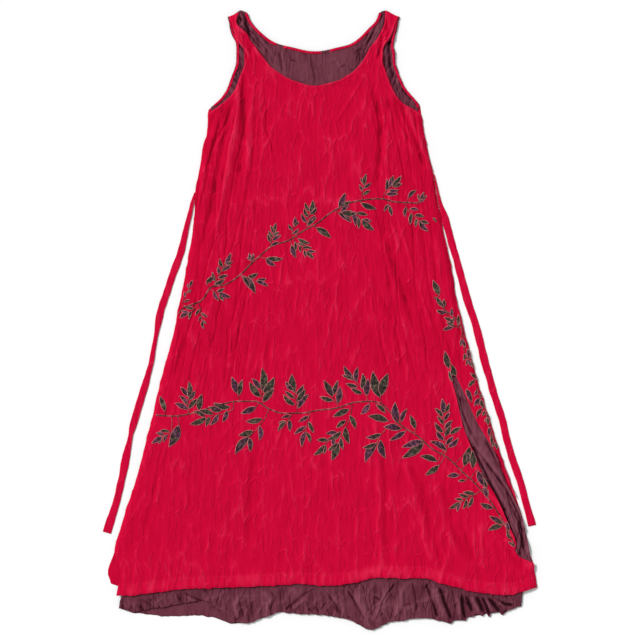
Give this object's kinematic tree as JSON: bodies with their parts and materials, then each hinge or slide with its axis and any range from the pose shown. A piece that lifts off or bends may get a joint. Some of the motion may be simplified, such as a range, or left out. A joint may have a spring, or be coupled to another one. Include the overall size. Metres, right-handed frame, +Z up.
{
  "type": "sleeveless maxi dress laid flat",
  "caption": "Sleeveless layered maxi dress laid flat: scooped neck, wide straps, flared skirt with a side slash over a longer underlayer, and side ties.",
  "frame": {"origin": "middle of the laid-out dress, on the surface that it lies on", "axes": "+Y from the hems to the shoulders, +X to the right as seen from above with the front up, +Z up from the surface"},
  "size_m": [0.9136, 1.2977, 0.0133],
  "materials": {
    "outer_cloth": "fine crinkled crepe, red, matt",
    "lining_cloth": "fine crinkled crepe, plum, matt",
    "leaf_cloth": "dark appliqued leaves, green-brown and purple, mottled",
    "leaf_cord": "thin pale outline and stem thread",
    "stitching": "red sewing thread"
  },
  "bodies": {
    "root": {"outer_back": "outer_cloth", "lining_back": "lining_cloth", "lining_front": "lining_cloth", "outer_front": "outer_cloth", "neck_binding": "outer_cloth", "armhole_binding_left": "outer_cloth", "armhole_binding_right": "outer_cloth", "tie_left": "outer_cloth", "tie_right": "outer_cloth"}
  },
  "joints": []
}
